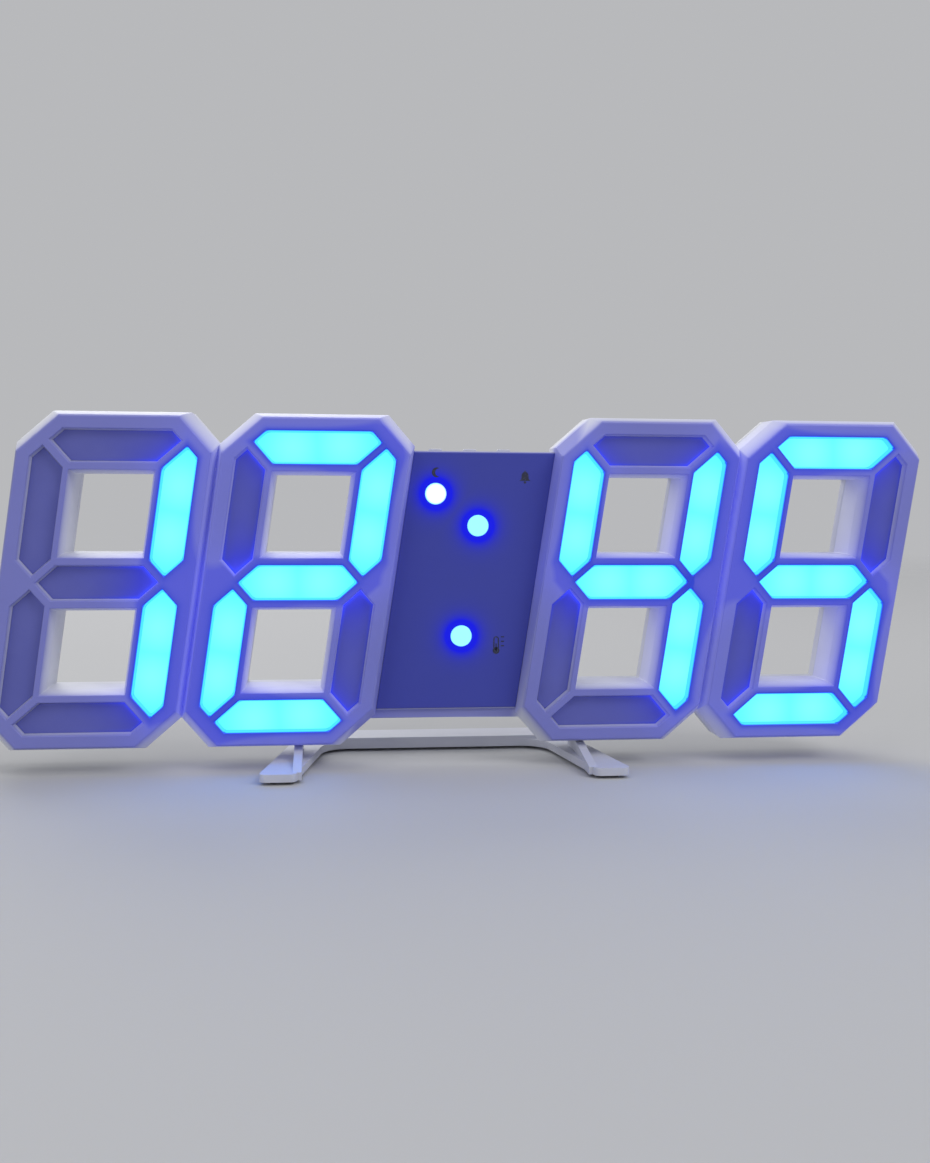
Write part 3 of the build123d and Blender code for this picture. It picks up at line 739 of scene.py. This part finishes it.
@dataclass
class FigureRow:
    """Four figure frames of the case: shell, cover, lamp plates and the lamps' light and shade painted round
    them.

    Lengths written without MM are in millimetres.
    """

    light: LampLight
    shell_finish: MouldedPlastic = MouldedPlastic()
    # the off plates' deep blue base colour is painted lamp light; lit plates take only its gloss and grain
    plate_finish_painted_blue: MouldedPlastic = MouldedPlastic(colour=(0.135, 0.15, 0.50), cloud=(0.12, 0.135, 0.475),
                                                  roughness=0.34, relief=0.004 * MM)
    # painted glow of lit neighbours, mixed into an off plate's base colour
    plate_glow: Colour = (0.045, 0.055, 0.55)
    lit_base: Colour = (0.02, 0.16, 0.22)
    edge_round: float = 0.22 * MM
    edge_angle: float = 24.0
    edge_length: float = 3.5 * MM
    corner_round: float = 0.9
    hot_share: float = 0.40
    hot_reach: float = 10.0
    lit_edge: Span = (-0.15, 0.20)
    # The reaches and shares below place the light and shade painted on the case and the off plates.
    wall_run: float = 0.45
    wall_edge: float = 0.15
    rim_reach: float = 0.8
    rim_share: float = 0.92
    ridge_reach: float = 1.6
    ridge_range: Span = (0.70, 1.0)
    ridge_width: float = 2.2
    # share of the faint painted glow emitted by the case near lit plates
    leak_share: float = 0.24
    painted_glow_reach: float = 6.0
    painted_light_share: float = 0.95
    painted_light_floor: float = 0.80
    front_reach: float = 1.8
    depth_reach: float = 14.0
    pocket: float = 2.0
    panel_margin: float = 4.0
    panel_painted_shade: float = 0.72
    panel_reach: float = 2.0
    plate_rim: float = 1.1
    plate_painted_glow_share: float = 0.9
    plate_edge_painted_glow: float = 0.55
    plate_leak_close: float = 0.36
    plate_leak_wide: float = 0.16
    plate_leak_rim: float = 0.22

    def front(self) -> float:
        """Depth of the case's front face, in millimetres."""
        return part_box("front_shell")[0].y / MM

    def gaps(self, sheet: Sheet, figure: str = "") -> list[Wire]:
        """Distances from the lit plates, in millimetres.

        Args:
            sheet: sheet to write on.
            figure: name that the figure's nodes start with, or nothing for all figures.

        Returns:
            One distance for each lit plate.
        """
        place = sheet.millimetres()
        lit = [Outline.of_node(node) for node in nodes_of("diffuser_lit") if node.startswith(figure)]
        return [outline.outside(sheet, place, self.corner_round) for outline in lit]

    def depth(self, sheet: Sheet) -> Wire:
        """Distance behind the plates' faces, in millimetres."""
        return sheet.along(sheet.millimetres(), BACKWARDS) - (self.front() + self.pocket)

    def painted_shade_beside_panel(self, sheet: Sheet) -> Wire:
        """Share of painted shade on the walls that stand round the centre panel's face, along the lean of the
        figures.

        Args:
            sheet: sheet to write on.

        Returns:
            1 between the two middle figures in front of the panel's edge, falling to 0 outwards and
            backwards.
        """
        place = sheet.millimetres()
        low, high = (np.array(corner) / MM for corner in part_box("centre_panel"))
        run, rise = np.ptp(Outline.of_node("digit1_segment_b").hot_spots(1.0), axis=0)
        lean = float(run / rise)
        half = float(high[0] - low[0] - lean * (high[2] - low[2])) / 2
        middle = (low + high) / 2
        across = sheet.along(place, (1.0, 0.0, -lean)) - float(middle[0] - lean * middle[2])
        behind = sheet.along(place, BACKWARDS) - float(low[1] + self.panel_reach)
        edge = half + self.panel_margin
        return across.most(-across).step(edge + self.panel_margin, edge) * behind.fade(self.panel_reach)

    def shell_material(self) -> bpy.types.Material:
        """White moulding with the lamps' light and shade painted on it.

        The front face is painted violet all over as the lamps' light, more so near lit plates, and the walls
        round the panel are painted violet as shade, while the bevels and other walls stay pale. Deep blue
        glow is painted along the edge of a lit pocket and on the ridges between two of them, and the pocket
        walls beside a lit plate are painted to glow.

        Returns:
            The material.
        """
        sheet = Sheet("case_white_glow")
        gaps, depth = self.gaps(sheet), self.depth(sheet)
        near, share = nearest(gaps), depth.fade(self.depth_reach)
        wide = total([gap.fade(self.painted_glow_reach) for gap in gaps]).least(1.0)
        close = total([gap.fade(self.ridge_reach) for gap in gaps])
        skin = (depth + self.pocket).fade(self.front_reach)
        # painted light: violet on the front face, strongest near lit plates, fading backwards so walls and
        # bevels stay pale
        painted_front_light = skin * (self.painted_light_share * wide).most(self.painted_light_floor)
        # painted shade on the walls round the panel
        violet = painted_front_light.most(self.panel_painted_shade * self.painted_shade_beside_panel(sheet))
        tinted = sheet.mix(violet, self.shell_finish.write(sheet), self.light.painted_violet_light_and_shade)
        # painted blue glow along lit pocket edges and the ridges between them
        rim = (near - self.wall_run).fade(self.rim_reach).most(close.step(*self.ridge_range))
        # painted glow emitted near lit plates, fading backwards, which also lightens the grooves
        leak = sheet.mix(self.leak_share * share * wide, BLACK, self.light.leak)
        # painted glow emitted by the pocket walls beside a lit plate
        wall = share * near.step(self.wall_run, self.wall_run - self.wall_edge)
        sheet.set(Base_Color=sheet.mix(self.rim_share * share * rim, tinted, self.light.painted_blue_glow),
                  Emission_Color=sheet.mix(wall, leak, self.light.wall), Emission_Strength=1.0)
        return sheet.material

    def dark_plate_material(self, node: str) -> bpy.types.Material:
        """Milky plate that is off, with the light of its lit neighbours painted on it, most of all along its
        own edge.

        Args:
            node: name of the plate's node.

        Returns:
            The material.
        """
        sheet = Sheet(f"{node}_dark")
        gaps = self.gaps(sheet, node.split("_")[0])
        wide = total([(gap - self.ridge_width).fade(self.painted_glow_reach) for gap in gaps])
        close = total([(gap - self.ridge_width).fade(self.ridge_reach) for gap in gaps])
        rim = Outline.of_node(node).outside(sheet, sheet.millimetres()).step(-self.plate_rim, 0.0)
        # painted glow of lit neighbours in the base colour
        tinted = sheet.mix(self.plate_painted_glow_share * wide, self.plate_finish_painted_blue.write(sheet), self.plate_glow)
        # painted glow emitted near lit neighbours and along the plate's own edge
        glow = self.plate_leak_close * close + self.plate_leak_wide * wide + self.plate_leak_rim * rim * wide
        # painted deep blue glow along the plate's own edge
        sheet.set(Base_Color=sheet.mix(self.plate_edge_painted_glow * rim * wide, tinted, self.light.painted_blue_glow),
                  Emission_Color=sheet.mix(glow, BLACK, self.light.leak), Emission_Strength=1.0)
        return sheet.material

    def lit_plate_material(self, node: str) -> bpy.types.Material:
        """Milky plate lit from behind, palest over its two lamps, with a thin deep blue line at its edge.

        Args:
            node: name of the plate's node.

        Returns:
            The material.
        """
        outline = Outline.of_node(node)
        sheet = Sheet(f"{node}_lit")
        place = sheet.millimetres()
        spots = [sheet.distance(place, (x, outline.depth, z)) for x, z in outline.hot_spots(self.hot_share)]
        core = sheet.mix(nearest(spots).step(self.hot_reach, 0.0), self.light.body, self.light.core)
        inside = -outline.outside(sheet, place, self.corner_round)
        self.plate_finish_painted_blue.write(sheet)
        sheet.set(Base_Color=(*self.lit_base, 1.0), Emission_Strength=self.light.power,
                  Emission_Color=sheet.mix(inside.step(*self.lit_edge), self.light.rim, core))
        return sheet.material

    def build(self) -> None:
        """Dresses the shell, the cover and all 28 plates."""
        dress("front_shell", self.shell_material())
        dress("rear_cover", self.shell_finish.material("case_white_plain"))
        for node in ("front_shell", "rear_cover"):
            soften(node, self.edge_round, self.edge_angle, length=self.edge_length)
        for node in nodes_of("diffuser_dark"):
            dress(node, self.dark_plate_material(node))
        for node in nodes_of("diffuser_lit"):
            dress(node, self.lit_plate_material(node))


class Mark(Enum):
    """Printed pictograms of the panel."""

    CRESCENT = "night_mark"
    BELL = "alarm_mark"
    THERMOMETER = "warmth_mark"


def unit_grid(rows: int, columns: int) -> tuple[np.ndarray, np.ndarray]:
    """Two parameters from -1 to 1 on a grid."""
    return tuple(np.meshgrid(np.linspace(-1, 1, rows), np.linspace(-1, 1, columns), indexing="ij"))


def disc(radius: float, x: float, z: float) -> np.ndarray:
    """Round spot without a pole: a square grid drawn to a circle.

    Each side's middle stays where it is and the corners are pulled in.

    Args:
        radius: radius of the spot.
        x: its middle across.
        z: its middle upwards.

    Returns:
        Grid of flat points.
    """
    a, b = unit_grid(rows=13, columns=13)
    across = x + radius * a * np.sqrt(1 - b ** 2 / 2)
    up = z + radius * b * np.sqrt(1 - a ** 2 / 2)
    return np.stack([across, up], axis=-1)


def bar(x0: float, x1: float, z0: float, z1: float) -> np.ndarray:
    """Upright rectangle between two corners."""
    a, b = unit_grid(rows=3, columns=9)
    return np.stack([(x0 + x1) / 2 + (x1 - x0) / 2 * a, (z0 + z1) / 2 + (z1 - z0) / 2 * b], axis=-1)


def crescent(height: float) -> list[np.ndarray]:
    """Moon: points between the arc of a circle and of a smaller, shifted one that nearly share their ends.

    Args:
        height: height of the mark.

    Returns:
        Grids of flat points.
    """
    t, s = unit_grid(rows=5, columns=33)
    radius, hollow, shift = height / 2, 0.41 * height, 0.25 * height
    outer_end, inner_end = math.radians(121), math.radians(92)
    outer_turn, inner_turn = s * outer_end, s * inner_end
    outer = np.stack([-radius * np.cos(outer_turn), radius * np.sin(outer_turn)], axis=-1)
    inner = np.stack([shift - hollow * np.cos(inner_turn), hollow * np.sin(inner_turn)], axis=-1)
    share = ((t + 1) / 2)[..., None]
    return [(1 - share) * outer + share * inner]


def bell(height: float) -> list[np.ndarray]:
    """Bell: a half round crown over upright sides that flare as a square to the rim, a clapper and a knob.

    Args:
        height: height of the mark.

    Returns:
        Grids of flat points.
    """
    crown_start, crown_close, flare_end = 0.5, 0.97, 0.34
    body_half, rim_spread, body_height, body_foot = 0.30, 0.17, 0.74, 0.28
    clapper, clapper_drop, knob, knob_rise = 0.10 * height, 0.41 * height, 0.06 * height, 0.50 * height
    t, s = unit_grid(rows=13, columns=33)
    rise = (s + 1) / 2
    crown = np.sqrt(1 - crown_close * np.clip((rise - crown_start) / (1 - crown_start), 0, 1) ** 2)
    flare = (1 - np.clip(rise / flare_end, 0, 1)) ** 2
    half = height * (body_half * crown + rim_spread * flare)
    body = np.stack([half * t, height * (rise * body_height - body_foot)], axis=-1)
    return [body, disc(clapper, 0.0, -clapper_drop), disc(knob, 0.0, knob_rise)]


def thermometer(height: float) -> list[np.ndarray]:
    """Thermometer: a line carried up one side of the stem, round its top and down again, over a bulb.

    Args:
        height: height of the mark.

    Returns:
        Grids of flat points.
    """
    stem, line, bulb, column_top = 0.13 * height, 0.035 * height, 0.20 * height, 0.12 * height
    neck, arch_pace = 1.75 * bulb, 2.2
    tick_start, tick_end, tick_count = 2.1 * stem, 3.6 * stem, 3
    foot, low, high = -height / 2 + bulb, -height / 2 + neck, height / 2 - stem
    s, t = unit_grid(rows=41, columns=3)
    turn = np.clip(s * arch_pace, -1, 1) * math.pi / 2
    drop = np.clip(np.abs(s) - 1 / arch_pace, 0, None) / (1 - 1 / arch_pace) * (high - low)
    reach = stem + line * t
    tube = np.stack([reach * np.sin(turn), high + reach * np.cos(turn) - drop], axis=-1)
    heights = np.linspace(low, high, tick_count) + stem
    ticks = [bar(tick_start, tick_end, z - line, z + line) for z in heights]
    return [tube, disc(bulb, 0.0, foot), bar(-line, line, foot, column_top), *ticks]


MARK_SHAPES: dict[Mark, Callable[[float], list[np.ndarray]]] = {
    Mark.CRESCENT: crescent, Mark.BELL: bell, Mark.THERMOMETER: thermometer}


def upright(patch: np.ndarray, x: float, depth: float, z: float) -> np.ndarray:
    """Stands a flat patch up at a depth, with its middle moved to (x, z); all in metres."""
    return np.stack([x + patch[..., 0], np.full(patch.shape[:2], depth), z + patch[..., 1]], axis=-1)


@dataclass
class CentrePanel:
    """Recessed plate between the middle figures, with its dot lamps, their halos and printed marks.

    Lengths written without MM are in millimetres.
    """

    finish: MouldedPlastic = MouldedPlastic(colour=(0.45, 0.465, 0.68), cloud=(0.42, 0.435, 0.66),
                                            roughness=0.40)
    # painted blue light of the lamps on the panel's face, left off its lip
    face: Colour = (0.040, 0.055, 0.42)
    face_share: float = 0.95
    face_depth: float = 0.12
    lip_depth: float = 0.48
    face_shine: float = 0.3
    # painted glow round each lit dot: deep blue base colour and a faint blue emission
    halo: Colour = (0.001, 0.003, 0.50)
    halo_ring: float = 1.5
    halo_reach: float = 1.6
    halo_share: float = 0.97
    halo_light: Colour = (0.0, 0.002, 0.46)
    dot_core: Colour = (0.98, 0.95, 1.0)
    dot_body: Colour = (0.28, 0.96, 1.0)
    dot_dim: float = 0.06
    dot_base: Colour = (0.10, 0.16, 0.20)
    dot_dome: float = 0.5 * MM
    dot_edge: float = 1.08
    dot_plateau: float = 0.75
    dot_roughness: float = 0.22
    dot_roughness_spread: float = 0.06
    dot_grain: float = 0.5 * MM
    dot_coat: float = 0.3
    ink: float = 0.03 * MM
    ink_bite: float = 0.01 * MM
    mark_heights: dict[Mark, float] = field(default_factory=lambda: {
        Mark.CRESCENT: 2.6 * MM, Mark.BELL: 3.2 * MM, Mark.THERMOMETER: 4.6 * MM})
    mark_offsets: dict[Mark, Span] = field(default_factory=lambda: {
        Mark.CRESCENT: (0.2 * MM, 5.6 * MM), Mark.BELL: (-8.0 * MM, -6.8 * MM),
        Mark.THERMOMETER: (9.4 * MM, -2.6 * MM)})

    def dot_middle(self, node: str) -> Point:
        """Middle of a dot's front face, in metres."""
        low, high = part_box(node)
        return ((low.x + high.x) / 2, low.y, (low.z + high.z) / 2)

    def dot_radius(self) -> float:
        """Radius of the bright face of a dot, read off its frontmost points.

        Returns:
            The radius in millimetres.
        """
        points = mesh_points("pm_dot_lens")
        front = points[points[:, 1] < points[:, 1].min() + self.dot_dome]
        return float(np.ptp(front[:, 0])) / 2 / MM

    def panel_material(self) -> bpy.types.Material:
        """White plate with the lamps' blue light painted on its face, deepest round each dot as painted glow,
        with a paler lip.

        Returns:
            The material.
        """
        sheet = Sheet("panel_white_halo")
        place = sheet.millimetres()
        middles = [[c / MM for c in self.dot_middle(node)] for node in nodes_of("dot_lit")]
        away = nearest([sheet.distance(place, middle) for middle in middles]) - self.dot_radius()
        ring = (away - self.halo_ring).fade(self.halo_reach)
        depth = sheet.along(place, BACKWARDS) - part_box("centre_panel")[0].y / MM
        # painted blue light on the face
        tinted = sheet.mix(self.face_share * depth.step(self.lip_depth, self.face_depth),
                           self.finish.write(sheet), self.face)
        # painted glow round the dots
        sheet.set(Base_Color=sheet.mix(self.halo_share * ring, tinted, self.halo),
                  Specular_IOR_Level=self.face_shine,
                  Emission_Color=sheet.mix(ring, BLACK, self.halo_light), Emission_Strength=1.0)
        return sheet.material

    def dot_material(self, node: str) -> bpy.types.Material:
        """Round lens lit from behind, whitest in its middle.

        Args:
            node: name of the lens's node.

        Returns:
            The material.
        """
        sheet = Sheet(f"{node}_lit")
        away = sheet.distance(sheet.millimetres(), [c / MM for c in self.dot_middle(node)])
        middle = 1.0 if node.startswith("pm") else self.dot_dim
        edge = self.dot_edge * self.dot_radius()
        glow = sheet.mix(middle * away.step(edge, self.dot_plateau * edge), self.dot_body, self.dot_core)
        sheet.set(Base_Color=(*self.dot_base, 1.0), Coat_Weight=self.dot_coat,
                  Roughness=self.dot_roughness + self.dot_roughness_spread * sheet.noise(self.dot_grain),
                  Emission_Color=glow, Emission_Strength=1.0)
        return sheet.material

    def mark_places(self) -> dict[Mark, Span]:
        """Where each mark lies on the panel, offset from a dot or from the panel's upper right corner.

        Returns:
            Place across and upwards of each mark, in metres.
        """
        night, warm = self.dot_middle("pm_dot_lens"), self.dot_middle("lower_dot_lens")
        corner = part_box("centre_panel")[1]
        starts = {Mark.CRESCENT: night, Mark.BELL: corner, Mark.THERMOMETER: warm}
        return {mark: (starts[mark][0] + x, starts[mark][2] + z)
                for mark, (x, z) in self.mark_offsets.items()}

    def print_marks(self) -> None:
        """Prints the pictograms on the panel's face."""
        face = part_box("centre_panel")[0].y
        material = PrintInk().material("mark_ink")
        for mark, (x, z) in self.mark_places().items():
            patches = MARK_SHAPES[mark](self.mark_heights[mark])
            piece = surface_object(mark.value, [upright(patch, x, face - self.ink, z) for patch in patches])
            film = piece.modifiers.new("film", "SOLIDIFY")
            film.thickness = self.ink + self.ink_bite
            film.offset = -1.0
            piece.data.materials.append(material)
            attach(piece, "clock")
            LOG.info("%s: printed", piece.name)

    def build(self) -> None:
        """Dresses the panel and its dots and prints its marks."""
        dress("centre_panel", self.panel_material())
        for node in nodes_of("dot_lit"):
            dress(node, self.dot_material(node))
        self.print_marks()


@dataclass
class ButtonRow:
    """Three push buttons on the top edge."""

    finish: MouldedPlastic = MouldedPlastic(colour=(0.62, 0.635, 0.73), cloud=(0.59, 0.605, 0.70),
                                            roughness=0.36)
    edge_round: float = 0.10 * MM
    edge_angle: float = 40.0

    def build(self) -> None:
        """Dresses the buttons."""
        material = self.finish.material("button_white_satin")
        for node in nodes_of("button_white"):
            dress(node, material)
            soften(node, self.edge_round, self.edge_angle)


@dataclass
class RearFittings:
    """Battery cap, screws and inlet on the back of the case."""

    cap_finish: MouldedPlastic = MouldedPlastic(colour=(0.70, 0.715, 0.775), cloud=(0.67, 0.685, 0.75))
    steel: PlatedSteel = PlatedSteel()
    bright: PlatedSteel = PlatedSteel(colour=(0.68, 0.69, 0.71), roughness=0.18)
    edge_round: float = 0.12 * MM
    edge_angle: float = 40.0

    def build(self) -> None:
        """Dresses the cap, the screws and the inlet."""
        dress("battery_cap", self.cap_finish.material("battery_cap_white"))
        soften("battery_cap", self.edge_round, self.edge_angle)
        steel = self.steel.material("screw_plated_steel")
        for node in nodes_of("screw_steel"):
            dress(node, steel)
        bright = self.bright.material("bright_steel")
        for node in nodes_of("cell_steel"):
            dress(node, bright)


@dataclass
class Electronics:
    """Boards and what is soldered on them."""

    boards: SolderMask = SolderMask()
    resin: DarkResin = DarkResin()
    leads: FlatLead = FlatLead()
    lamps: PhosphorResin = PhosphorResin()

    def build(self) -> None:
        """Dresses the boards and their parts by their slots."""
        finishes = {"board_green": self.boards.material("board_lacquer"),
                    "switch_black": self.resin.material("black_resin"),
                    "ribbon_grey": self.leads.material("flat_lead"),
                    "lamp_yellow": self.lamps.material("lamp_phosphor")}
        for slot, material in finishes.items():
            for node in nodes_of(slot):
                dress(node, material)


@dataclass
class SplayedStand:
    """U-shaped foot with its grip pads."""

    # greyer and more violet than the case's white: painted shade and blue lamp light
    finish: MouldedPlastic = MouldedPlastic(colour=(0.62, 0.635, 0.725), cloud=(0.585, 0.60, 0.695))
    rubber: DarkResin = DarkResin(colour=(0.075, 0.078, 0.085), dust=(0.14, 0.145, 0.155), roughness=0.75)
    edge_round: float = 0.30 * MM
    edge_angle: float = 30.0

    def build(self) -> None:
        """Dresses the stand and the pads."""
        dress("stand", self.finish.material("stand_white_satin"))
        soften("stand", self.edge_round, self.edge_angle, clamp=True)
        dress("stand_pads", self.rubber.material("pad_rubber"))


@dataclass
class Studio:
    """Pale floor, soft lamps, plain world and the photograph's camera."""

    floor_radius: float = 3.0
    floor_clear: float = 0.30
    floor_gone: float = 1.30
    floor_colour: Colour = (0.53, 0.535, 0.55)
    floor_roughness: float = 0.75
    floor_shine: float = 0.2
    backdrop: Colour = (0.48, 0.485, 0.50)
    world_level: float = 0.42
    image_size: tuple[int, int] = (930, 1163)
    focal_pixels: float = 1200.0
    sensor: float = 36.0
    camera_place: Point = (-36.25 * MM, -320.35 * MM, 73.6 * MM)
    camera_turn: Point = (85.608, -0.390, -6.489)
    lamps: dict[str, tuple[Point, float, float]] = field(default_factory=lambda: {
        "key_lamp": ((0.90, -0.75, 1.05), 0.8, 7.6),
        "fill_lamp": ((-0.95, -0.80, 0.55), 0.9, 2.8),
        "back_lamp": ((-0.35, 0.95, 0.75), 0.9, 5.5),
        "top_lamp": ((0.0, 0.05, 1.25), 0.9, 3.0),
    })
    aim: Point = (0.0, 0.0, 0.045)

    def build(self) -> None:
        """Makes the floor, the lamps, the world and the camera."""
        self.lay_floor()
        for name, (place, size, power) in self.lamps.items():
            self.hang_lamp(name, place, size, power)
        self.paint_world()
        self.stand_camera()
        bpy.context.scene.view_settings.view_transform = "Standard"

    def lay_floor(self) -> None:
        """Round floor, a square grid drawn to a circle, that fades into the backdrop away from the clock."""
        flat = disc(self.floor_radius, 0.0, 0.0)
        points = np.stack([flat[..., 0], flat[..., 1], np.zeros(flat.shape[:2])], axis=-1)
        floor = surface_object("studio_floor", [points])
        sheet = Sheet("floor_pale")
        sheet.set(Base_Color=(*self.floor_colour, 1.0), Roughness=self.floor_roughness,
                  Specular_IOR_Level=self.floor_shine)
        far = sheet.distance(sheet.place(), (0.0, 0.0, 0.0)).step(self.floor_clear, self.floor_gone)
        clear = sheet.node("ShaderNodeBsdfTransparent")
        blend = sheet.node("ShaderNodeMixShader", {}, {0: far, 1: sheet.shader.outputs["BSDF"],
                                                       2: clear.outputs["BSDF"]})
        sheet.feed(sheet.output.inputs["Surface"], blend.outputs["Shader"])
        floor.data.materials.append(sheet.material)

    def hang_lamp(self, name: str, place: Point, size: float, power: float) -> None:
        """Hangs one square soft lamp that faces the clock.

        Args:
            name: name of the lamp.
            place: where it hangs, in metres.
            size: side of its square, in metres.
            power: its power in watts.
        """
        data = bpy.data.lights.new(name, "AREA")
        data.shape, data.size, data.energy = "SQUARE", size, power
        lamp = bpy.data.objects.new(name, data)
        lamp.location = place
        back = np.subtract(place, self.aim)
        lamp.rotation_euler = (math.acos(back[2] / np.linalg.norm(back)), 0.0,
                               math.atan2(back[1], back[0]) + math.pi / 2)
        bpy.context.scene.collection.objects.link(lamp)

    def paint_world(self) -> None:
        """Plain world: the backdrop's colour where it is seen, a lower level where it lights."""
        world = bpy.data.worlds.new("studio_world")
        bpy.context.scene.world = world
        world.use_nodes = True
        board = NodeBoard(world.node_tree)
        rays = board.node("ShaderNodeLightPath").outputs
        seen = board.wire(rays["Is Camera Ray"]).most(rays["Is Glossy Ray"]).most(rays["Is Transmission Ray"])
        lights = board.node("ShaderNodeBackground", {}, {"Strength": self.world_level})
        looks = board.node("ShaderNodeBackground", {}, {"Color": (*self.backdrop, 1.0)})
        blend = board.node("ShaderNodeMixShader", {}, {0: seen, 1: lights.outputs[0], 2: looks.outputs[0]})
        board.node("ShaderNodeOutputWorld", {}, {"Surface": blend.outputs[0]})

    def stand_camera(self) -> None:
        """Stands the camera where the photograph was taken, left of the middle and looking slightly down."""
        data = bpy.data.cameras.new("photo_camera")
        data.sensor_width = self.sensor
        data.lens = self.focal_pixels * self.sensor / max(self.image_size)
        camera = bpy.data.objects.new("photo_camera", data)
        camera.location = self.camera_place
        camera.rotation_euler = [math.radians(angle) for angle in self.camera_turn]
        bpy.context.scene.collection.objects.link(camera)
        bpy.context.scene.camera = camera


def main() -> None:
    """Builds the studio and the clock's sub-assemblies in order."""
    logging.basicConfig(level=logging.INFO, format="%(name)s %(message)s")
    for assembly in (Studio(), FigureRow(LampLight()), CentrePanel(), ButtonRow(), RearFittings(),
                     Electronics(), SplayedStand()):
        assembly.build()


if __name__ == "__main__":
    main()
